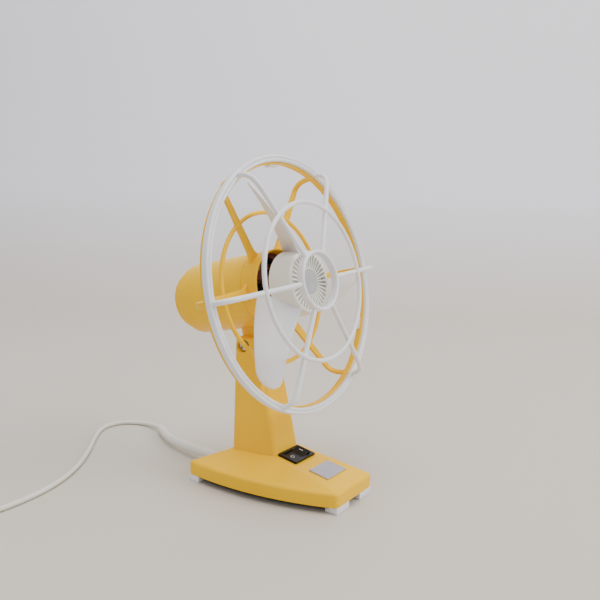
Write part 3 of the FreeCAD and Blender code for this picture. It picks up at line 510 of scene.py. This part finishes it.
def joined(parts):
    """One bmesh out of several bmeshes or meshes."""
    whole = bmesh.new()
    for part in parts:
        if isinstance(part, bmesh.types.BMesh):
            carrier = bpy.data.meshes.new("carrier")
            part.to_mesh(carrier)
            part.free()
        else:
            carrier = part
        whole.from_mesh(carrier)
        bpy.data.meshes.remove(carrier)
    return whole


def hoop(radius, y, bar_radius, steps=144):
    """Round-section ring about Y."""
    sides = 16
    return lathe(arc(y, radius, bar_radius, 0, 360 - 360 / sides, sides - 1), steps)


def soft_band(low_y, high_y, inner, outer, soft, steps=144):
    """Ring of rounded rectangular section."""
    profile = []
    for y, radius, start in ((high_y - soft, outer - soft, 0), (low_y + soft, outer - soft, 90),
                             (low_y + soft, inner + soft, 180), (high_y - soft, inner + soft, 270)):
        profile += arc(y, radius, soft, start, start + 90, 4)
    return lathe(profile, steps)


def turned_about(angle, radius, y, across=0.0):
    """Point at a radius and angle about Y, moved sideways along the circle."""
    return Vector((radius * math.cos(angle) - across * math.sin(angle), y,
                   radius * math.sin(angle) + across * math.cos(angle)))


def round_edges(bm, edges, width, segments):
    """Bevel of a few edges, built into the mesh."""
    bmesh.ops.bevel(bm, geom=edges, offset=width * MM, segments=segments, profile=0.5,
                    affect="EDGES", material=-1, clamp_overlap=True)


def round_where(bm, chosen, width):
    """Rounds the creased edges for which chosen holds at both ends."""
    crease = math.radians(12)
    edges = [edge for edge in bm.edges
             if len(edge.link_faces) == 2 and edge.calc_face_angle(0) > crease
             and all(chosen(vert.co) for vert in edge.verts)]
    round_edges(bm, edges, width, 4)


# ---------------------------------------------------------------- flex

SLEEVE_ROUTE = [(-26, 35.6, 12.5), (-24.5, 83.95, 10.5), (-17, 123.95, 8), (1, 159.95, 6)]
FLEX_ROUTE = [(1, 159.95, 6), (7, 179.95, 3.4), (1, 202.95, 2.6), (-15, 218.95, 2.6),
              (-38, 217.95, 2.6), (-61, 197.95, 2.6), (-84, 173.95, 2.6), (-109, 150.95, 2.6),
              (-138, 131.95, 2.6), (-170, 120.95, 2.6), (-203, 118.1, 2.6), (-238, 121.1, 2.6),
              (-276, 121.45, 2.6)]
PLUG_ROUTE = [(-307.5, 89.95, 7.1), (-307, 66.95, 6.8), (-307.4, 42.95, 7.1)]
FLEX_WIDE = 4.5
FLOOR_RUN = 2.6                        # height of the flex's middle where it lies on the table
COIL_CENTRE = (-276, 89.95)
COIL_INNER, COIL_OUTER = 22.5, 31.5
COIL_TURNS, LOWER_TURNS = 6.25, 3
TURN_POINTS = 16


def coil_route():
    """Three turns inwards on the floor, then out again on top, ending at the left of the coil."""
    climb_at, climb_turns = LOWER_TURNS + 0.1, 0.25
    swell = 1 / math.cos(math.pi / TURN_POINTS) ** 0.5      # the line runs inside its points
    points = []
    for step in range(1, int(COIL_TURNS * TURN_POINTS)):
        turned = step / TURN_POINTS
        angle = math.pi / 2 + math.tau * turned
        if turned <= climb_at:
            share = min(turned / LOWER_TURNS, 1)
            radius, height = COIL_OUTER + (COIL_INNER - COIL_OUTER) * share, FLOOR_RUN
        else:
            share = (turned - climb_at) / (COIL_TURNS - climb_at)
            radius = COIL_INNER + (COIL_OUTER - COIL_INNER) * share
            height = FLOOR_RUN + FLEX_WIDE * min((turned - climb_at) / climb_turns, 1)
        points.append((COIL_CENTRE[0] + radius * swell * math.cos(angle),
                       COIL_CENTRE[1] + radius * swell * math.sin(angle), height))
    return points


def build_flex():
    """Mains flex: a loose run over the table, a round coil of the spare length, then the plug."""
    route = FLEX_ROUTE + coil_route() + PLUG_ROUTE
    flex = bar("flex", [route], FLEX_WIDE / 2, order=3, rounds=4, resolution=8)
    flex.data.materials.append(soft_pvc())
    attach(flex, "base")
    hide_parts("cord", "cord_coil", "plug_lead")
    plug = build_plug()


def build_plug():
    """Flat two-pin plug: a grip with a waist, narrower and thinner towards the flex."""
    waist, neck_width, neck_thickness = 0.22, 0.3, 0.25
    low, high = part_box("plug_body")
    size = Vector(high) - Vector(low)
    centre = (Vector(low) + Vector(high)) / 2
    bm = bmesh.new()
    bmesh.ops.create_cube(bm, size=1)
    bmesh.ops.scale(bm, vec=size, verts=bm.verts)
    long_edges = [edge for edge in bm.edges
                  if abs(edge.verts[0].co.y - edge.verts[1].co.y) > size.y / 2]
    bmesh.ops.subdivide_edges(bm, edges=long_edges, cuts=9, use_grid_fill=True)
    for vert in bm.verts:
        share = vert.co.y / size.y + 0.5
        vert.co.x *= (1 - waist * math.sin(math.pi * share) ** 2
                      - neck_width * max(0, share - 0.75) / 0.25)
        vert.co.z *= 1 - neck_thickness * max(0, share - 0.8) / 0.2
    bmesh.ops.translate(bm, verts=bm.verts, vec=centre)
    return finish_piece("plug_grip", bm, soft_pvc(), "base", "cord_vinyl", ["plug_body"],
                        bevel=2.6, segments=4, edge_angle=40)


def build_sleeve():
    """Long moulded sleeve, one thickness for most of its way and tapered at its end."""
    radii = [4.65] * 7 + [4.5, 4.2, 3.9]
    legs = ((0, (0, 0.12, 0.3, 0.65)), (1, (0, 0.5)), (2, (0, 0.4, 0.8, 1)))
    bends = [Vector(point) for point in SLEEVE_ROUTE]
    points = [bends[leg].lerp(bends[leg + 1], share) for leg, shares in legs for share in shares]
    mesh = as_mesh(bar("sleeve_line", [points], 1, resolution=12, swell=radii))
    finish_mesh("sleeve", mesh, soft_pvc(), "base", "cord_vinyl", ["strain_relief"])


# ---------------------------------------------------------------- guards

SPOKES = [math.radians(3.5 + 60 * step) for step in range(6)]    # the rear ribs stand behind them
MIDDLE_RING, RING_BAR = 72.4, 2.1      # radius of both middle rings and of their bars
SPOKE_BAR = 2.3
COLLAR_RADIUS = 34.8                   # where the rear ribs start, on the motor's collar
RIM_STEPS, COLLAR_STEPS = 168, 96      # facets round the rims and round the small rings


def build_front_guard():
    """Rim of two beads with a groove, middle ring, centre ring and six bent spokes."""
    inner, outer, bead, front, back = 113.6, 120, 1.6, -1.4, 2.4
    rim_profile = [(back, inner)]
    rim_profile += arc(front, inner + bead, bead, 270, 102, 8)
    rim_profile += arc(front, outer - bead, bead, 258, 90, 8)
    rim_profile += [(back, outer), (back + 0.6, outer - 0.6), (back + 0.6, inner + 0.6)]
    path = [(26.4, -22.5), (50, -20.6), (75, -18.5), (94, -17.1), (103, -16.2), (110.5, -14.2),
            (114.8, -9.4), (116.4, -4), (116.8, 0)]
    routes = [[turned_about(angle, radius, y) for radius, y in path] for angle in SPOKES]
    parts = [lathe(rim_profile, RIM_STEPS), hoop(MIDDLE_RING, -20.3, RING_BAR),
             soft_band(-26.2, -18.8, 24.8, 28, 1.4, COLLAR_STEPS),
             as_mesh(bar("spokes", routes, SPOKE_BAR))]
    finish_piece("front_cage", joined(parts), white_polystyrene(), "head", "white_plastic",
                 ["front_guard"], HEAD)


def rib_path():
    """Middle line of a rear rib as (radius, y) points, from the collar out and round to the rim."""
    points = [(COLLAR_RADIUS, 34.5), (36.2, 34.3), (37.8, 34.1), (40, 33.7), (44, 33.1),
              (55, 31.5), (MIDDLE_RING, 29), (86, 26.9), (99.5, 25.0)]
    centre_radius, centre_y, bend, start, turn, steps = 101.8, 12.0, 12.5, 84, 80, 7
    for step in range(1, steps + 1):
        angle = math.radians(start - turn * step / steps)
        points.append((centre_radius + bend * math.cos(angle), centre_y + bend * math.sin(angle)))
    return points + [(114.8, 8.5), (115.0, 5.4)]


def rib_sections(angle):
    """Flat oblong sections square to the rib's path, widest where it leaves the collar."""
    half_thick, width, taper, root_flare, flare_run = 1.7, 9.5, 4.7, 8, 9
    path = rib_path()
    (first, _), (last, _) = path[0], path[-1]
    sections = []
    for index, (radius, y) in enumerate(path):
        before, after = path[max(index - 1, 0)], path[min(index + 1, len(path) - 1)]
        along = Vector((after[0] - before[0], after[1] - before[1])).normalized()
        share = (radius - first) / (last - first)
        flare = root_flare * max(0, 1 - (radius - first) / flare_run) ** 2
        half = (width - taper * share + flare) / 2
        sections.append([turned_about(angle, radius - along.y * rise * half_thick,
                                      y + along.x * rise * half_thick, side * half)
                         for side, rise in ((-1, -1), (1, -1), (1, 1), (-1, 1))])
    return sections


def build_rear_guard():
    """Yellow rim with its lip and flange, middle ring, motor collar and six flat ribs."""
    ring = soft_band(3, 7.4, 112.4, 117.6, 1.1, RIM_STEPS)
    lip = soft_band(0.4, 6, 112, 113.45, 0.5, RIM_STEPS)
    flange = soft_band(3.2, 6.2, 117, 119.1, 0.8, RIM_STEPS)
    collar = soft_band(21.75, 41, 34, 36, 0.7, COLLAR_STEPS)
    parts = [ring, lip, flange, hoop(MIDDLE_RING, 29, RING_BAR), collar]
    for angle in SPOKES:
        rib = drawn(rib_sections(angle))
        sharp = [edge for edge in rib.edges if edge.calc_face_angle(0) > math.radians(50)]
        round_edges(rib, sharp, 0.9, 3)
        parts.append(rib)
    finish_piece("rear_cage", joined(parts), yellow_abs(), "head", "yellow_plastic",
                 ["rear_guard"], HEAD)
    softened("guard_clips", white_polystyrene(), "head", "white_plastic", 0.4)


# ---------------------------------------------------------------- spinner and blades

def spinner_fin(angle):
    """Radial fin of the spinner's face, twice as thick at its outer end."""
    fin = bmesh.new()
    bmesh.ops.create_cube(fin, size=1)
    for vert in fin.verts:
        radius, half = (12.2, 0.5) if vert.co.x < 0 else (26.4, 1.0)
        depth = -12.75 if vert.co.y < 0 else -7.6
        vert.co = turned_about(angle, radius, depth, half if vert.co.z > 0 else -half) * MM
    bmesh.ops.recalc_face_normals(fin, faces=fin.faces)
    return fin


def build_hub():
    """Smooth cup with a rounded shoulder; its face is a ring of fins around a plain disc."""
    fins = 36
    cup = [(10.4, 29), (10.4, 31.2), (-10.2, 29.62)] + arc(-10.4, 27.2, 2.4, 90, 180, 7)
    face = [(-12.8, 26.5), (-12.5, 26.1), (-8.4, 25.9), (-8.4, 12.6), (-12.5, 12.6), (-12.8, 12.3),
            (-12.8, 11.75), (-11.4, 11.75), (-11.4, 3), (-4, 3), (-4, 9), (-3.4, 24), (-3.4, 26.6)]
    parts = [lathe(cup + face, 120)]
    parts += [spinner_fin(math.tau * step / fins) for step in range(fins)]
    finish_piece("spinner", joined(parts), cream_polystyrene(), "rotor", "cream_plastic",
                 ["fan_hub"], HEAD)
    disc = lathe([(-11.7, 0.01), (-11.7, 11.5), (-12.4, 11.5), (-12.65, 11.3), (-12.8, 10.9),
                  (-12.8, 0.01)], 72)
    finish_piece("spinner_disc", disc, grey_polystyrene(), "rotor", "grey_plastic",
                 ["hub_disc"], HEAD)


BLADE_ROOT, BLADE_TIP = 26.0, 102.5
BLADE_SHARES = (0, 0.08, 0.16, 0.25, 0.35, 0.45, 0.55, 0.65, 0.74, 0.82, 0.88, 0.92, 0.95, 0.972,
                0.988, 0.997, 1)       # closer together where the tip rounds off


def blade_sections():
    """Swept, twisted blade along +X; each section is a thin cambered lens."""
    root_chord, chord_loss, tip_round, thick = 44, 22, 10.0, 2.1
    root_pitch, pitch_loss, camber, fullness = 58, 13, 0.1, 0.55
    middle_y, corner_count = 5, 20
    sections = []
    for share in BLADE_SHARES:
        radius = BLADE_ROOT + (BLADE_TIP - BLADE_ROOT) * share
        short = max(tip_round - (BLADE_TIP - radius), 0)
        width = ((root_chord - chord_loss * share) / 2 - tip_round
                 + math.sqrt(max(tip_round ** 2 - short ** 2, 0)))
        sweep = -10 + 4 * share + 20 * share ** 2
        pitch = math.radians(root_pitch - pitch_loss * share)
        ahead = Vector((0, math.sin(pitch), -math.cos(pitch)))
        lift = Vector((0, -math.cos(pitch), -math.sin(pitch)))
        corners = []
        for step in range(corner_count):
            turn = math.tau * step / corner_count
            along, side = math.cos(turn), math.sin(turn)
            side = math.copysign(abs(side) ** fullness, side)
            crown = (1 - along * along) * width * camber
            corners.append(Vector((radius, middle_y, sweep)) + ahead * along * width
                           + lift * (crown + side * thick / 2))
        sections.append(corners)
    return sections


def build_blades():
    """Three equal blades, the first turned as the fan stands at rest."""
    rest_turn = 108.5
    for index in range(3):
        turn = Matrix.Rotation(math.radians(-(rest_turn + 120 * index)), 4, "Y")
        finish_piece("blade_%d" % (index + 1), drawn(blade_sections()), white_polystyrene(),
                     "rotor", "white_plastic", ["fan_blade_%d" % (index + 1)], HEAD @ turn,
                     smooth_angle=50)


# ---------------------------------------------------------------- motor housing

def build_housing():
    """Tapered motor housing with a rounded rear shoulder, and the cap that closes it."""
    shoulder_y, shoulder_radius = 126.9, 31.3
    back = HEAD.inverted()

    def shoulder(place):
        local = back @ place
        return local.y > shoulder_y * MM and math.hypot(local.x, local.z) > shoulder_radius * MM

    bm = merged("motor_housing")
    round_where(bm, shoulder, 1.3)
    finish_piece("housing_soft", bm, yellow_abs(), "head", "yellow_plastic", ["motor_housing"])
    cap = lathe([(133, 0.01), (133, 30.6), (136.6, 30.6)] + arc(137.4, 28, 2.6, 78, 8, 5)
                + [(140, 26.2), (139.4, 25.8), (139.4, 0.01)], 96)
    finish_piece("end_cap", cap, yellow_abs(), "head", "yellow_plastic", ["rear_cap"], HEAD)


# ---------------------------------------------------------------- base and column

BASE_CORNERS = [(-29, -106.49), (29, -106.49), (46, 20.6), (-62, 43.95)]
BASE_BOWS = [0, 0.8, 1.5, 10.2]        # how far each side bulges at its middle
FOOT_CORNERS = [(-17.8, -28.35), (17.8, -28.35), (31, 16.95), (-31, 16.95)]
COLUMN_TOP = 137.8


def rim(corners, bows, inset, cut, height):
    """Outline as points at one height, its sides bowed and its corners rounded from cut on."""
    side_steps, corner_steps, corner_inset = 12, 5, 1.35
    middle = sum((Vector(corner) for corner in corners), Vector((0, 0))) / len(corners)
    sides = []
    for index, bow in enumerate(bows):
        start, end = Vector(corners[index]), Vector(corners[(index + 1) % len(corners)])
        run = end - start
        outward = Vector((run.y, -run.x)).normalized()
        trim = cut / run.length
        row = []
        for step in range(side_steps + 1):
            share = trim + (1 - 2 * trim) * step / side_steps
            row.append(start + run * share + outward * (4 * share * (1 - share) * bow - inset))
        sides.append(row)
    points = []
    for index, row in enumerate(sides):
        following = (index + 1) % len(sides)
        points += row
        corner = Vector(corners[following])
        corner += (middle - corner).normalized() * inset * corner_inset
        for step in range(1, corner_steps):
            share = step / corner_steps
            points.append(row[-1] * (1 - share) ** 2 + corner * 2 * share * (1 - share)
                          + sides[following][0] * share ** 2)
    return [Vector((point.x, point.y, height)) for point in points]


def build_base():
    """Open-bottomed shell with four hipped panels, its column, its feet and its bare plate."""
    straight = [0, 0, 0, 0]
    hollow = [rim(FOOT_CORNERS, straight, 2.4, 4, 26), rim(BASE_CORNERS, BASE_BOWS, 5.4, 4, 16.6)]
    skirt = [rim(BASE_CORNERS, BASE_BOWS, inset, cut, height) for inset, cut, height in (
        (3, 3.8, 15), (3, 3.8, 6.1), (0.9, 3.4, 6.1), (0.25, 3.4, 6.5), (0, 3.4, 7.2),
        (0, 3.4, 16.6), (0.25, 3.4, 17.8), (0.9, 3.4, 18.8), (1.9, 3.6, 19.45))]
    low = rim(BASE_CORNERS, BASE_BOWS, 2.6, 3.8, 19.7)
    top = rim(FOOT_CORNERS, straight, -0.6, 4, 29)
    panels = [[start.lerp(end, share) for start, end in zip(low, top)]
              for share in (0, 0.12, 0.3, 0.5, 0.7, 0.86, 0.95, 1)]
    finish_piece("base_cover", drawn(hollow + skirt + panels), yellow_abs(), "base",
                 "yellow_plastic", ["base_shell"], smooth_angle=28)
    column = merged("column")
    round_where(column, lambda place: place.z > COLUMN_TOP * MM, 1.4)
    finish_piece("column_soft", column, yellow_abs(), "base", "yellow_plastic", ["column"])
    for name in ("front_foot_left", "front_foot_right", "rear_foot_left", "rear_foot_right"):
        softened(name, white_polystyrene(), "base", "white_plastic", 0.7)
    softened("name_plate", brushed_aluminium(), "base", "brushed_aluminium", 0.35)


def head_moon(side, radius, slot_wide, seat, rise):
    """Half of a slotted screw head, on one side of the slot."""
    moon = bmesh.new()
    bmesh.ops.create_circle(moon, cap_ends=True, segments=48, radius=radius * MM)
    bmesh.ops.rotate(moon, verts=moon.verts, cent=(0, 0, 0),
                     matrix=Matrix.Rotation(math.radians(90), 3, "X"))
    bmesh.ops.bisect_plane(moon, geom=moon.verts[:] + moon.edges[:] + moon.faces[:],
                           plane_co=(side * slot_wide / 2 * MM, 0, 0), plane_no=(side, 0, 0),
                           clear_inner=True)
    bmesh.ops.translate(moon, verts=moon.verts, vec=(0, seat * MM, 0))
    raised = bmesh.ops.extrude_face_region(moon, geom=moon.faces[:])["geom"]
    tops = [item for item in raised if isinstance(item, bmesh.types.BMVert)]
    bmesh.ops.translate(moon, verts=tops, vec=(0, -rise * MM, 0))
    bmesh.ops.recalc_face_normals(moon, faces=moon.faces)
    return moon


def build_bolt():
    """Tilt bolt: a cheese-head screw with a slot and its shank, then the nut with soft edges."""
    seat, under, radius, slot_wide, rise = -17.6, -15.4, 4.6, 1.2, 1.1
    pivot = Vector(joint("head_tilt")["pos_m"])
    shank = lathe([(-16.2, 0.01), (-16.2, 3), (19, 3), (19.6, 2.5), (19.6, 0.01)], 40)
    flange = lathe([(seat, 0.01), (seat, radius), (under, radius), (under, 0.01)], 48)
    moons = [head_moon(side, radius, slot_wide, seat, rise) for side in (-1, 1)]
    slot_turn = Matrix.Rotation(math.radians(35), 4, "Y")
    turn = Matrix.Rotation(math.radians(-90), 4, "Z") @ slot_turn
    finish_piece("tilt_screw", joined([shank, flange] + moons), zinc_plated_steel(), "base",
                 "zinc_steel", ["tilt_bolt"], Matrix.Translation(pivot) @ turn,
                 bevel=0.25, segments=2)
    softened("tilt_nut", zinc_plated_steel(), "base", "zinc_steel", 0.3, 2)


def build_switch():
    """Black bezel and rocker, pressed on its left, with a white ring and bar as marks."""
    softened("switch_body", black_phenolic(), "base", "dark_plastic", 0.45)
    key = deck_matrix(joint("switch_rock")["pos_m"])
    half, crest, flat, lean = 11.6, 9.7, 1.9, math.radians(26)
    ridge, step_up, deep, wide = 0.8, 0.3, 3, 15.2
    profile = [(-half, -deep), (half, -deep), (half, 3.2),
               (crest, flat + step_up + (crest - ridge) * math.tan(lean)),
               (ridge, flat + step_up), (-ridge, flat), (-half, flat)]
    bm = bmesh.new()
    front = bm.faces.new([bm.verts.new(Vector((x, -wide / 2, z)) * MM) for x, z in profile])
    grown = bmesh.ops.extrude_face_region(bm, geom=[front])["geom"]
    fresh = [item for item in grown if isinstance(item, bmesh.types.BMVert)]
    bmesh.ops.translate(bm, verts=fresh, vec=(0, wide * MM, 0))
    bmesh.ops.recalc_face_normals(bm, faces=bm.faces)
    finish_piece("rocker_key", bm, black_phenolic(), "rocker", "dark_plastic", ["switch_rocker"],
                 key, bevel=0.5, segments=3)
    mark_at, proud = 6.4, 0.03
    ring = lathe([(-0.02, 1.5), (0.03, 1.5), (0.03, 2.0), (-0.02, 2.0)], 40)
    bmesh.ops.rotate(ring, verts=ring.verts, cent=(0, 0, 0),
                     matrix=Matrix.Rotation(math.radians(90), 3, "X"))
    lay = key @ Matrix.Translation(Vector((-mark_at, 0, flat + proud)) * MM)
    finish_piece("mark_off", ring, white_ink(), "rocker", "white_plastic", [], lay)
    stroke = bmesh.new()
    bmesh.ops.create_cube(stroke, size=1)
    bmesh.ops.scale(stroke, vec=Vector((0.6, 4.2, 0.06)) * MM, verts=stroke.verts)
    height = flat + step_up + proud + (mark_at - ridge) * math.tan(lean)
    lay = key @ Matrix.Translation(Vector((mark_at, 0, height)) * MM)
    finish_piece("mark_on", stroke, white_ink(), "rocker", "white_plastic", [],
                 lay @ Matrix.Rotation(-lean, 4, "Y"))


# ---------------------------------------------------------------- materials of the CAD pieces

SLOT_LOOKS = {"yellow_plastic": yellow_abs, "white_plastic": white_polystyrene,
              "cream_plastic": cream_polystyrene, "grey_plastic": grey_polystyrene,
              "dark_plastic": black_phenolic, "zinc_steel": zinc_plated_steel,
              "brushed_aluminium": brushed_aluminium, "cast_iron": cast_iron,
              "electrical_steel": laminated_steel, "copper_winding": enamelled_copper,
              "bronze": sintered_bronze, "cord_vinyl": soft_pvc, "pin_brass": nickel_brass}
# The bearing brackets take a brown that also paints the orange-lit glow inside the housing's mouth.
NODE_LOOKS = {"front_bracket": phenolic_and_painted_glow, "rear_bracket": phenolic_and_painted_glow,
              "motor_shaft": ground_steel}


def dress_nodes():
    """Gives each CAD node the material of its slot, or its own where it differs."""
    for part in frame["record"]["subparts"]:
        maker = NODE_LOOKS.get(part["node"]) or SLOT_LOOKS[part["material_slot"]]
        mesh = frame["nodes"][part["node"]].data
        mesh.materials.clear()
        mesh.materials.append(maker())


build_camera()
build_flex()
build_studio()
build_sleeve()
dress_nodes()
build_front_guard()
build_rear_guard()
build_hub()
build_blades()
build_housing()
build_base()
build_bolt()
build_switch()
